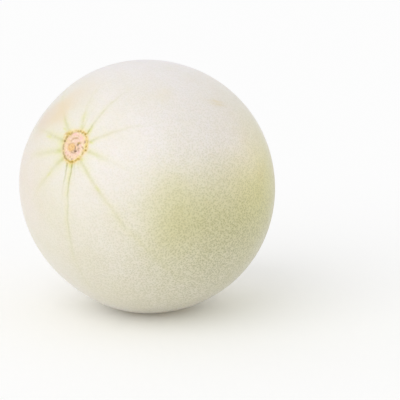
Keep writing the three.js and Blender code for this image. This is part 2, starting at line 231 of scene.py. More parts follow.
LUMPS = dict(  # x, y, half length, half width, lean (degrees), strength
    olive=((-7.6, 6.2, 1.9, 0.85, 8, 0.72), (-6.1, 6.3, 0.8, 0.6, 0, 0.45), (-7.7, 5.4, 1.0, 0.5, 50, 0.4),
           (-0.9, 8.5, 1.3, 0.45, 3, 0.75), (0.8, 8.7, 0.6, 0.5, 0, 0.5),
           (4.6, 7.25, 1.1, 0.6, 0, 1.0), (3.3, 8.1, 1.0, 0.5, 15, 0.38), (2.1, 7.7, 0.7, 0.5, 0, 0.38),
           (1.95, 1.65, 1.1, 0.65, 5, 0.92), (3.2, 1.8, 1.0, 0.6, 0, 0.32), (0.1, 1.6, 1.0, 0.5, 0, 0.16), (7.3, 0.3, 0.45, 0.7, 0, 0.7), (7.9, -1.9, 1.1, 0.5, -20, 0.7),
           (4.5, -7.55, 1.5, 0.6, 3, 0.85), (3.7, -8.3, 1.0, 0.5, 20, 0.5), (0.9, -9.6, 1.3, 0.6, 0, 1.0),
           (-1.1, -9.5, 1.3, 0.55, -20, 0.85), (-3.0, -8.8, 1.3, 0.45, -25, 0.55), (-4.6, -8.1, 0.9, 0.45, -40, 0.4),
           (5.9, -5.9, 0.8, 1.0, 0, 0.22), (6.3, 4.3, 0.6, 1.0, 20, 0.2), (7.5, 3.3, 1.0, 0.9, 0, 0.42),
           (-8.6, 2.0, 0.6, 0.6, 0, 0.35), (-0.9, 4.5, 1.8, 0.5, 8, 0.30), (-9.6, 3.9, 0.8, 0.5, 40, 0.2)),
    cream=((-8.6, 4.8, 0.9, 0.5, 10, 0.9), (-8.8, 3.0, 0.5, 0.6, 0, 0.7), (-10.2, 6.0, 0.7, 0.7, 0, 0.6),
           (-6.3, 5.4, 0.6, 0.4, 40, 0.5), (-5.3, 8.8, 1.0, 0.6, 10, 0.75), (0.6, 7.6, 0.6, 0.5, 0, 0.85),
           (-1.2, 7.3, 0.8, 0.4, 0, 0.45), (2.9, 6.9, 0.8, 0.6, 0, 0.6), (4.7, 8.6, 0.8, 0.4, 0, 0.6),
           (5.9, 6.7, 0.8, 0.4, 20, 0.7), (5.0, 5.0, 0.7, 1.0, 0, 0.30), (2.6, 9.8, 0.8, 0.6, 0, 0.5),
           (5.2, 0.4, 0.9, 0.35, -35, 0.85), (4.5, 1.1, 0.6, 0.35, -30, 0.7), (6.0, 1.0, 0.5, 0.7, 0, 0.6),
           (5.0, -1.4, 0.5, 0.45, -30, 0.85), (5.0, -2.9, 0.45, 0.5, 0, 0.95), (4.9, -4.7, 0.45, 1.0, 12, 0.85),
           (8.2, -3.3, 1.0, 0.4, 0, 0.7), (8.4, -1.0, 1.0, 0.35, -15, 0.6), (6.6, -0.7, 0.5, 0.4, 0, 0.5),
           (-1.0, -8.45, 1.1, 0.35, -25, 0.95), (-3.4, -7.7, 0.9, 0.35, -25, 0.5), (2.3, -7.7, 0.9, 0.8, 0, 0.45),
           (-0.6, -7.1, 0.5, 0.4, 0, 0.5), (-4.7, -9.0, 0.6, 0.4, 0, 0.5), (-2.6, -9.9, 0.6, 0.5, 0, 0.5),
           (4.8, -9.1, 0.7, 0.5, 0, 0.4), (-2.9, 2.3, 0.5, 0.4, 0, 0.35), (-2.2, 5.4, 1.4, 0.3, 5, 0.40),
           (1.0, 4.9, 0.5, 0.5, 0, 0.4), (-0.7, -3.65, 0.5, 0.3, 0, 0.6), (-6.7, -0.9, 0.7, 0.5, 0, 0.45),
           (-4.5, -3.6, 0.9, 0.4, -35, 0.35), (4.6, 2.0, 0.5, 0.4, 0, 0.4)),
    pink=((-3.0, 6.8, 1.5, 1.0, 0, 0.85), (1.2, 4.6, 1.2, 0.8, 0, 0.5), (-1.4, 6.5, 1.0, 0.7, 0, 0.6), (2.4, 4.9, 0.8, 1.3, 10, 1.0),
          (-7.8, 0.75, 0.7, 0.5, 0, 0.7), (3.7, 0.6, 0.9, 0.7, 0, 0.6), (3.1, -4.0, 1.2, 0.9, 0, 0.7),
          (-5.6, -4.8, 0.9, 0.8, 0, 0.7), (-4.4, -5.4, 1.4, 0.6, 0, 0.4), (0.0, 2.6, 2.0, 0.6, 0, 0.35),
          (4.0, -2.6, 0.6, 0.8, 0, 0.6), (-0.6, -5.4, 1.8, 0.5, 0, 0.3)),
    amber=((-6.9, 1.9, 1.6, 0.8, 0, 0.9), (-4.8, 1.6, 1.3, 0.6, 0, 0.6), (-5.2, 0.8, 1.0, 0.5, 10, 0.9), (-6.7, -0.9, 1.0, 0.8, 0, 0.85), (-4.9, -1.2, 0.8, 1.4, 0, 0.5),
           (-5.6, -2.2, 0.6, 1.0, 20, 0.4), (3.0, -6.3, 1.6, 0.6, 10, 0.5), (4.6, -6.0, 0.8, 0.8, 0, 0.5),
           (5.2, 4.8, 0.8, 1.3, 0, 0.6), (3.0, 6.3, 1.3, 0.9, 0, 0.9), (6.1, 1.3, 0.8, 1.0, 0, 0.8),
           (6.3, -0.4, 0.9, 0.6, -20, 0.7), (-3.2, -7.3, 1.6, 0.5, -25, 0.5), (0.2, 7.4, 0.9, 0.5, 0, 0.5),
           (5.2, -4.0, 0.5, 1.6, 0, 0.5)),
    halo=((9.7, 3.0, 1.6, 0.6, -5, 0.9), (7.0, -7.2, 1.2, 0.75, -40, 0.9), (-11.4, 8.9, 1.6, 0.5, -20, 0.8),
          (7.4, 10.5, 0.7, 1.8, -10, 0.6), (-0.3, 11.4, 0.9, 1.6, 0, 0.35), (0.1, -11.2, 1.5, 1.3, 0, 0.62),
          (-0.8, 18.0, 1.5, 3.2, 5, 0.36), (-15.0, -18.0, 2.0, 0.8, 40, 0.7), (19.6, -21.4, 2.0, 0.9, -45, 0.6),
          (-22.0, 3.6, 2.6, 0.8, -12, 0.75), (-12.0, -5.2, 2.0, 0.9, 8, 0.35), (-9.3, -4.6, 0.9, 0.8, 0, 0.5),
          (-9.5, 2.2, 0.9, 0.6, 0, 0.4), (14.5, -3.4, 2.6, 0.8, -10, 0.3), (-13.5, 13.8, 2.6, 0.7, 134, 0.4)),
    tan=((-3.3, 3.6, 0.8, 0.6, 40, 0.5), (-1.4, 4.3, 1.6, 0.55, 10, 0.75), (1.2, 3.9, 0.9, 0.4, -10, 0.3),
         (-4.0, 2.4, 0.6, 0.6, 0, 0.5), (-4.7, 0.1, 0.9, 0.6, 0, 0.5), (-3.2, 0.9, 1.2, 0.35, 20, 0.4), (-0.7, -0.2, 0.9, 0.4, -45, 0.45), (-1.8, -1.0, 0.9, 0.4, -50, 0.55),
         (-3.4, -2.3, 0.8, 0.5, -45, 0.45), (-2.3, 1.1, 1.3, 0.4, 0, 0.4), (-1.2, -4.3, 1.2, 0.5, -10, 0.5),
         (1.2, -4.5, 1.0, 0.4, 0, 0.45), (2.8, -1.9, 0.9, 0.9, 0, 0.55), (5.8, 2.9, 0.6, 1.1, 0, 0.55),
         (6.0, -2.7, 0.6, 1.0, 0, 0.4), (6.1, -5.2, 0.7, 1.2, 0, 0.5), (-3.6, -6.2, 0.8, 0.5, -10, 0.45),
         (-1.7, -7.0, 0.6, 0.5, 0, 0.5), (-4.6, 7.3, 0.8, 0.6, 45, 0.45), (-5.3, 4.6, 0.7, 0.4, 0, 0.25),
         (2.3, -0.3, 0.7, 0.5, 0, 0.35), (-0.4, 6.1, 0.9, 0.4, -15, 0.3), (5.3, -0.4, 0.8, 0.5, -30, 0.4)),
)
CORE = (-2.3, -1.35, 2.95, 2.75)   # centre x, y and half sizes of the bundle core
SUNK = (0.94, -0.31)               # how far the pattern leans for each mm the floor sinks

n_low, n_mid, n_fine, n_scar = Noise(11), Noise(23), Noise(37), Noise(51)


def lump(kind, x, y, jig):
    out = np.zeros_like(x)
    for px, py, a, b, lean, s in LUMPS[kind]:
        c, d = math.cos(lean * RAD), math.sin(lean * RAD)
        u, v = (x - px) * c + (y - py) * d, -(x - px) * d + (y - py) * c
        m = s * np.exp(-np.clip(np.hypot(u / a, v / b) * (1 + jig) , 0, 9) ** 2)
        out = out + m - out * m
    return out


def scar_fields(x, y):
    """Everything about the stem scar at (x, y) mm from the stem axis."""
    phi = np.arctan2(y, x)
    rho = np.hypot(x, y)
    inner, outer = on_curve(RING_IN, phi), on_curve(RING_OUT, phi)
    width = outer - inner
    u = np.clip((rho - inner) / np.maximum(width - 0.25, 0.3), 0, 1)
    low = 0.9 * bump(rho, 15.0) + 0.80 * (1 - smoothstep(-0.45, 0.15, rho - inner)) - 0.28 * np.sin(math.pi * u)
    lean = np.clip(low - 1.15 + 0.8 * smoothstep(7.6, 9.2, rho), -0.7, 0.6)
    x, y = x + SUNK[0] * lean, y + SUNK[1] * lean
    p3 = np.stack([x, y, np.zeros_like(x)], 1)
    wob = n_scar.fbm(p3 * 0.9 + 3.1, 3)
    grain = n_scar.fbm(p3 * 2.6 + 9.7, 3)
    ragged = 0.20 * n_scar.fbm(p3 * 0.75 + 21.0, 3) + 0.10 * grain
    t_in = rho - inner + ragged
    t_out = outer - rho + 1.5 * ragged
    beads = n_scar(np.stack([x * 0.85, y * 0.85, np.full_like(x, 7.7)], 1))

    disc = 1 - smoothstep(-0.6, 0.35, t_in)
    u = np.clip(t_in / np.maximum(width - 0.25, 0.3), 0, 1)
    ridge = np.sin(math.pi * u) ** 0.8 * (1 - disc)
    apron = smoothstep(-2.6, 0.4, t_out) * (1 - disc)
    gold = smoothstep(-0.9, 0.5, t_out) * smoothstep(-0.4, 0.3, t_in) * on_curve(RING_GOLD, phi)

    h = -0.80 * (1 - smoothstep(-0.45, 0.15, t_in)) + ridge * (0.14 + 0.16 * width) * (1 + 0.5 * beads)
    h += disc * (0.10 * wob + 0.06 * grain) + ridge * 0.12 * grain

    cx, cy, ca, cb = CORE
    e = np.hypot((x - cx) / ca, (y - cy) / cb) * (1 + 0.10 * wob)
    right = x + 0.28 * (y + 1.0)
    core = (1 - smoothstep(0.70, 1.08, e)) * smoothstep(0.75, -0.15, right)
    swirl = np.cos(e * 9.5 + 1.6 * wob + 1.3 * np.arctan2(y - cy, x - cx)) * core
    h += 0.30 * core + 0.08 * swirl
    edge = bump(e - 1.0, 0.13) * np.clip(0.35 + 0.8 * wob, 0, 1) * smoothstep(0.8, -1.5, x)
    h -= 0.10 * edge

    d, t = along(((0.1, 1.0), (0.55, 0.2), (0.95, -0.5), (1.25, -1.4), (1.45, -2.5)), x, y)
    rib = bump(d, 0.36) * smoothstep(0, 0.15, t) * smoothstep(1, 0.8, t)
    h += 0.20 * rib

    olive, cream = lump("olive", x, y, 0.3 * wob + 0.2 * grain), lump("cream", x, y, 0.25 * wob + 0.25 * grain)
    pink, amber = lump("pink", x, y, 0.3 * wob), lump("amber", x, y, 0.3 * wob)
    tan = lump("tan", x, y, 0.3 * wob + 0.2 * grain)
    band = smoothstep(-0.8, 0.4, t_out) * smoothstep(-1.0, 0.0, t_in)
    fleck = smoothstep(0.2, 0.7, n_scar(np.stack([x * 1.25, y * 1.25, np.full_like(x, 3.3)], 1)))
    bright = smoothstep(0.1, 0.6, n_scar(np.stack([x * 1.05, y * 1.05, np.full_like(x, 13.3)], 1)))
    olive = np.maximum(olive, 0.24 * fleck * band)
    cream = np.maximum(cream, 0.40 * bright * band * (1 - olive))
    h += (0.10 * cream - 0.10 * olive) * (1 - disc) + 0.06 * cream * disc - 0.05 * tan * disc

    brown = np.zeros_like(x)
    for pts, wide, depth, tone in CRACKS:
        d, t = along(pts, x + 0.14 * wob, y + 0.14 * grain)
        taper = np.sqrt(np.clip(np.minimum(t, 1 - t) * 5 + 0.2, 0, 1))
        m = bump(d, wide * (0.55 + 0.45 * taper)) * taper * (0.85 + 0.35 * grain)
        h -= depth * m
        brown = np.maximum(brown, tone * m)
    for px, py, r, depth, tone in PITS:
        m = bump(np.hypot(x - px, y - py) * (1 + 0.25 * grain), r)
        h -= depth * m
        brown = np.maximum(brown, tone * m)
    speck = smoothstep(0.35, 0.8, n_scar(np.stack([x * 1.7 + 4, y * 1.7, np.full_like(x, 23.3)], 1)) + 0.25 * grain)
    brown = np.maximum(brown, 0.22 * speck * np.maximum(disc * (1 - core), band))
    h -= 0.06 * speck * disc
    tan = tan + edge - tan * edge
    out = dict(disc=disc, gold=gold, dark=brown, core=core, tan=tan, pink=pink, olive=olive, swirl=swirl,
               apron=apron, cream=cream, amber=amber, rib=rib)
    return dict({k: np.clip(v, 0, 1) for k, v in out.items()}, h=h)


def blossom_fields(x, y):
    """The small corky button where the flower was."""
    rho = np.hypot(x, y)
    phi = np.arctan2(y, x)
    p3 = np.stack([x, y, np.full_like(x, 31.0)], 1)
    wob = n_scar.fbm(p3 * 0.8, 3)
    grain = n_scar.fbm(p3 * 2.4, 3)
    r = rho * (1 + 0.05 * np.cos(3 * phi + 0.7) + 0.03 * np.cos(5 * phi + 2)) + 0.25 * wob
    button = 1 - smoothstep(3.5, 4.7, r)
    edge = bump(r - 4.6, 0.45)
    rings = np.cos(r * 3.4) * bump(r - 2.4, 1.3)
    rays = np.abs(np.cos(phi * 4.5 + 1.5 * wob)) ** 6 * smoothstep(0.6, 1.6, r) * (1 - smoothstep(2.8, 4.2, r))
    pit = bump(rho, 1.1)
    h = 0.62 * button + 0.10 * edge - 0.55 * pit + button * (0.06 * rings + 0.05 * grain - 0.10 * rays)
    dark = np.clip(0.9 * bump(rho, 0.75) + 0.35 * bump(r - 4.9, 0.4) + 0.35 * rays * button, 0, 1)
    halo = (1 - smoothstep(5.0, 17.0, rho + 2.0 * wob))
    return dict(h=h, button=button, dark=dark, halo=halo)


def vein_depth(x, y, rho):
    """Shallow furrows over the bundles, mm."""
    h = np.zeros_like(x)
    for ang, off0, off1, s0, fall, s1, end, width, *_ in VEINS:
        a = ang * RAD
        t = (x - VEIN_X0) * math.cos(a) + (y - VEIN_Y0) * math.sin(a)
        d = -(x - VEIN_X0) * math.sin(a) + (y - VEIN_Y0) * math.cos(a)
        d = d - off0 - (off1 - off0) * (t - 9) / 30
        s = (s0 * np.exp(-np.clip(t - 9, 0, None) / fall) + s1) * np.clip((end + 4 - t) / (end - 12), 0, 1)
        s = s * smoothstep(7.5, 10.5, t)
        h -= 0.006 * s * bump(d, max(width * 0.9, 0.75))
    return h


# ----------------------------------------------------------------------------
# The mesh: rings from the stem end to the blossom end
# ----------------------------------------------------------------------------
def rings():
    """(radius from the stem axis as a polar angle, number of points) for each ring."""
    plan = []
    r = 0.28
    while r < 24.0:
        n = 24 if r < 0.9 else 48 if r < 1.9 else 96 if r < 3.8 else 192 if r < 6.4 else 384
        plan.append((math.asin(r / EQUATOR_R), n))
        if r < 6.4:
            step = 0.26
        elif r < 10.6:
            step = 0.19
        elif r < 14:
            step = 0.34
        else:
            step = 0.34 + (r - 14) * 0.075
        r += step
    theta0 = math.asin(r / EQUATOR_R)
    tail = []
    r = 0.32
    while r < 18.0:
        n = 24 if r < 0.9 else 48 if r < 1.9 else 96 if r < 3.8 else 192 if r < 9.0 else 384
        tail.append((math.pi - math.asin(r / EQUATOR_R), n))
        r += 0.32 if r < 6.5 else 0.32 + (r - 6.5) * 0.08
    theta1 = math.pi - math.asin(r / EQUATOR_R)
    count = int(round((theta1 - theta0) / (1.36 / 76.5)))
    for i in range(count + 1):
        plan.append((theta0 + (theta1 - theta0) * i / count, 384))
    return plan + tail[::-1]


def build_skin():
    plan = rings()
    theta, phi, start = [0.0], [0.0], []
    for t, n in plan:
        start.append(len(theta))
        theta += [t] * n
        phi += [2 * math.pi * k / n for k in range(n)]
    theta.append(math.pi)
    phi.append(0.0)
    theta, phi = np.array(theta), np.array(phi)
    last = len(theta) - 1

    faces = []
    n0 = plan[0][1]
    for j in range(n0):
        faces.append((0, start[0] + j, start[0] + (j + 1) % n0))
    for i in range(len(plan) - 1):
        na, nb, sa, sb = plan[i][1], plan[i + 1][1], start[i], start[i + 1]
        if na == nb:
            for j in range(na):
                k = (j + 1) % na
                faces.append((sa + j, sb + j, sb + k, sa + k))
        elif nb == 2 * na:
            for j in range(na):
                k = (j + 1) % na
                c0, c1, c2 = sb + 2 * j, sb + 2 * j + 1, sb + (2 * j + 2) % nb
                faces += [(sa + j, c0, c1), (sa + j, c1, sa + k), (sa + k, c1, c2)]
        else:
            for j in range(nb):
                k = (j + 1) % nb
                c0, c1, c2 = sa + 2 * j, sa + 2 * j + 1, sa + (2 * j + 2) % na
                faces += [(c0, sb + j, c1), (c1, sb + j, sb + k), (c1, sb + k, c2)]
    n1 = plan[-1][1]
    for j in range(n1):
        faces.append((last, start[-1] + (j + 1) % n1, start[-1] + j))

    d = np.stack([np.sin(theta) * np.cos(phi), np.sin(theta) * np.sin(phi), np.cos(theta)], 1)
    size = np.array((EQUATOR_R, EQUATOR_R, HALF_LEN))
    base = d * size
    normal = d / size
    normal /= np.linalg.norm(normal, axis=1, keepdims=True)
    x, y, z = base.T
    rho = np.hypot(x, y)

    h = np.zeros(len(d))
    for polar, around, height, spread in LOBES:
        c = np.array((math.sin(polar * RAD) * math.cos(around * RAD),
                      math.sin(polar * RAD) * math.sin(around * RAD), math.cos(polar * RAD)))
        ang = np.arccos(np.clip(d @ c, -1, 1)) / RAD
        h += height * np.exp(-0.5 * (ang / spread) ** 2)
    h += 0.16 * n_low.fbm(base / 24.0, 2) + 0.045 * n_mid.fbm(base / 7.5 + 5.0, 2)
    stem, tail = z > 0, z <= 0
    h[stem] -= 0.9 * bump(rho[stem], 15.0)
    h[tail] -= 0.9 * bump(rho[tail], 11.0)

    zero = np.zeros(len(d))
    marks = ("disc", "gold", "dark", "core", "tan", "pink", "olive", "swirl", "apron", "cream", "amber", "rib")
    fields = {k: zero.copy() for k in marks + ("button", "bdark", "halo", "ground", "start")}
    near = stem & (rho < 14.0)
    s = scar_fields(x[near], y[near])
    h[near] += s["h"]
    for k in marks:
        fields[k][near] = s[k]
    near = stem & (rho < 62.0)
    h[near] += vein_depth(x[near], y[near], rho[near])
    near = stem & (rho < 34.0)
    fields["start"][near] = lump("halo", x[near], y[near], 0.3 * n_mid.fbm(base[near] / 2.2, 2))
    near = tail & (rho < 24.0)
    b = blossom_fields(x[near], y[near])
    h[near] += b["h"] * (1 - smoothstep(18, 24, rho[near]))
    fields["button"][near], fields["bdark"][near], fields["halo"][near] = b["button"], b["dark"], b["halo"]

    local = base + normal * h[:, None]
    up = STEM_RISE * RAD
    turn = np.array(((1, 0, 0), (0, math.sin(up), math.cos(up)), (0, -math.cos(up), math.sin(up)))).T
    world = local @ turn.T
    world[:, 2] += CENTRE_Z

    # The ground spot: flat on the surface, with a soft turn up at its edge.
    k = 0.42
    w = world[:, 2]
    flat = np.where(w < -k, 0.0, np.where(w > k, w, (w + k) ** 2 / (4 * k)))
    world[:, 2] = flat
    gx, gy = world[:, 0] - 0.0, world[:, 1] - 2.5
    g = np.hypot(gx / 1.08, gy) + 3.2 * n_mid.fbm(world / 11.0, 3)
    fields["ground"] = (1 - smoothstep(13.0, 30.0, g)) * (world[:, 2] < 40)

    # Sit exactly where the CAD fruit's box is.
    lo, hi = world.min(0), world.max(0)
    box_lo, box_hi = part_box("melon")
    shift = np.array(((box_lo[0] + box_hi[0]) * 500 - (lo[0] + hi[0]) / 2,
                      (box_lo[1] + box_hi[1]) * 500 - (lo[1] + hi[1]) / 2,
                      box_lo[2] * 1000 - lo[2]))
    world += shift
    return world / 1000.0, faces, base, d, fields, shift


verts, faces, base, direction, fields, shift = build_skin()
CENTRE = Vector((shift[0] / 1000, shift[1] / 1000, CENTRE_Z / 1000 + shift[2] / 1000))

mesh = bpy.data.meshes.new("melon_skin")
mesh.from_pydata(verts.tolist(), [], faces)
mesh.update()
mesh.validate()
mesh.shade_smooth()


def keep(name, columns):
    a = mesh.attributes.new(name, "FLOAT_VECTOR", "POINT")
    a.data.foreach_set("vector", np.stack(columns, 1).astype(np.float32).ravel())


zero_like = np.zeros(len(base))
keep("fruit", (base[:, 0], base[:, 1], base[:, 2]))
keep("scar_a", (fields["disc"], fields["gold"], fields["dark"]))
keep("scar_b", (fields["core"], fields["tan"], fields["pink"]))
keep("scar_c", (fields["olive"], fields["swirl"], fields["apron"]))
keep("scar_d", (fields["cream"], fields["amber"], fields["rib"]))
keep("ends", (fields["button"], fields["bdark"], fields["halo"]))
keep("rest", (fields["ground"], fields["start"], zero_like))


def lay_out():
    """A map of nine squares: six faces of a cube round the fruit, the stem
    scar, the ring of skin round it and the blossom button, each enlarged."""
    layer = mesh.uv_layers.new(name="OFBake")
    n_loops = len(mesh.loops)
    vi = np.empty(n_loops, np.int32)
    mesh.loops.foreach_get("vertex_index", vi)
    starts = np.empty(len(mesh.polygons), np.int32)
    totals = np.empty(len(mesh.polygons), np.int32)
    mesh.polygons.foreach_get("loop_start", starts)
    mesh.polygons.foreach_get("loop_total", totals)
    poly = np.repeat(np.arange(len(starts)), totals)
    mid = np.stack([np.bincount(poly, direction[vi, c]) for c in range(3)], 1) / totals[:, None]
    rho = np.hypot(mid[:, 0], mid[:, 1]) * EQUATOR_R
    axis = np.abs(mid).argmax(1)
    cell = axis * 2 + (mid[np.arange(len(mid)), axis] < 0)
    stem = mid[:, 2] > 0
    cell[stem & (rho < 32.0)] = 7
    cell[stem & (rho < 12.6)] = 6
    cell[~stem & (rho < 13.0)] = 8
    c = cell[poly]
    dx, dy, dz = direction[vi].T
    u, v = np.zeros(n_loops), np.zeros(n_loops)
    for k, (a, b, m) in enumerate(((dy, dz, dx), (-dy, dz, -dx), (-dx, dz, dy), (dx, dz, -dy), (dx, dy, dz), (-dx, dy, -dz))):
        s = c == k
        u[s] = np.arctan2(a[s], m[s]) * 4 / math.pi
        v[s] = np.arctan2(b[s], m[s]) * 4 / math.pi
    for k, span, sign in ((6, 12.6, 1), (7, 32.0, 1), (8, 13.0, -1)):
        s = c == k
        rr = np.arccos(np.clip(dz[s] * sign, -1, 1))
        full = math.asin(span / EQUATOR_R) * 1.04
        ln = np.maximum(np.hypot(dx[s], dy[s]), 1e-9)
        u[s] = dx[s] / ln * rr / full * sign
        v[s] = dy[s] / ln * rr / full
    half = (1 / 3) / 2
    col, row = c % 3, c // 3
    scale = half * 0.955
    uv = np.stack([(col + 0.5) / 3 + u * scale, (row + 0.5) / 3 + v * scale], 1)
    layer.data.foreach_set("uv", uv.astype(np.float32).ravel())


lay_out()

melon = bpy.data.objects.new("melon_skin", mesh)
bpy.context.scene.collection.objects.link(melon)


# ----------------------------------------------------------------------------
# Material
# ----------------------------------------------------------------------------
def srgb(r, g, b):
    def f(c):
        c /= 255.0
        return c / 12.92 if c <= 0.04045 else ((c + 0.055) / 1.055) ** 2.4
    return (f(r), f(g), f(b), 1.0)


class Graph:
    def __init__(self, tree):
        self.tree, self.nodes, self.links = tree, tree.nodes, tree.links

    def plug(self, socket, value):
        if isinstance(value, bpy.types.NodeSocket):
            self.links.new(value, socket)
        elif value is not None:
            socket.default_value = value

    def add(self, kind, **props):
        n = self.nodes.new(kind)
        for k, v in props.items():
            setattr(n, k, v)
        return n

    def math(self, op, a, b=None, c=None, clamp=False):
        n = self.add("ShaderNodeMath", operation=op, use_clamp=clamp)
        for i, v in enumerate((a, b, c)):
            self.plug(n.inputs[i], v)
        return n.outputs[0]

    def vec(self, op, a, b=None, scale=None):
        n = self.add("ShaderNodeVectorMath", operation=op)
        self.plug(n.inputs[0], a)
        if b is not None:
            self.plug(n.inputs[1], b)
        if scale is not None:
            self.plug(n.inputs["Scale"], scale)
        return n.outputs["Value" if op in ("DOT_PRODUCT", "LENGTH", "DISTANCE") else "Vector"]

    def span(self, x, a, b, lo=0.0, hi=1.0, smooth=True):
        n = self.add("ShaderNodeMapRange", interpolation_type="SMOOTHSTEP" if smooth else "LINEAR")
        n.clamp = True
        for i, v in enumerate((x, a, b, lo, hi)):
            self.plug(n.inputs[i], v)
        return n.outputs[0]

    def mix(self, fac, a, b, blend="MIX"):
        n = self.add("ShaderNodeMix", data_type="RGBA", blend_type=blend)
        n.clamp_factor = True
        self.plug(n.inputs[0], fac)
        self.plug(n.inputs[6], a)
        self.plug(n.inputs[7], b)
        return n.outputs[2]

    def mul(self, *values):
        out = values[0]
        for v in values[1:]:
            out = self.math("MULTIPLY", out, v)
        return out

    def addup(self, *values):
        out = values[0]
        for v in values[1:]:
            out = self.math("ADD", out, v)
        return out

    def attr(self, name):
        return self.add("ShaderNodeAttribute", attribute_name=name).outputs["Vector"]

    def split(self, v):
        n = self.add("ShaderNodeSeparateXYZ")
        self.plug(n.inputs[0], v)
        return n.outputs[:]

    def noise(self, v, scale, detail=2.0, rough=0.5, distort=0.0):
        n = self.add("ShaderNodeTexNoise")
        self.plug(n.inputs["Vector"], v)
        n.inputs["Scale"].default_value = scale
        n.inputs["Detail"].default_value = detail
        n.inputs["Roughness"].default_value = rough
        n.inputs["Distortion"].default_value = distort
        return n.outputs["Fac"], n.outputs["Color"]

    def gauss(self, x, width):
        """exp(-(x / width)^2)"""
        q = self.math("MULTIPLY", x, 1.0 / width)
        return self.math("EXPONENT", self.math("MULTIPLY", self.math("MULTIPLY", q, q), -1.0))


def axis_of(polar, around):
    return (math.sin(polar * RAD) * math.cos(around * RAD),
            math.sin(polar * RAD) * math.sin(around * RAD), math.cos(polar * RAD))


CREAM = (0.865, 0.821, 0.679)
# Fitted tints: partly the skin's own cream and greener flank, partly painted shade and painted green reflected light
# on the lower right flank; some large gains cancel each other in pairs.
TINTS_AND_PAINTED_SHADE = (  # polar, round, how tight, what it multiplies the cream by at its middle
    (125.0, 8.0, 3.5, (0.950, 0.955, 0.800)),
    (76.3, 355.9, 3.4, (0.777, 0.780, 0.711)),
    (50.0, 347.2, 6.0, (1.382, 1.375, 2.010)),
    (54.4, 340.6, 12.0, (0.760, 0.763, 0.428)),
    (84.1, 16.6, 12.0, (1.347, 1.272, 2.034)),
    (65.2, 90.3, 3.7, (1.059, 1.063, 1.292)),
    (90.6, 11.1, 12.0, (0.851, 0.874, 0.390)),
    (135.1, 14.7, 9.4, (0.908, 0.904, 0.783)),
    (75.0, 10.0, 21.0, (1.020, 1.021, 1.105)),
    (78.0, 352.0, 24.0, (0.978, 0.980, 0.925)),
    (23.5, 334.0, 34.0, (1.012, 1.010, 1.075)),
)


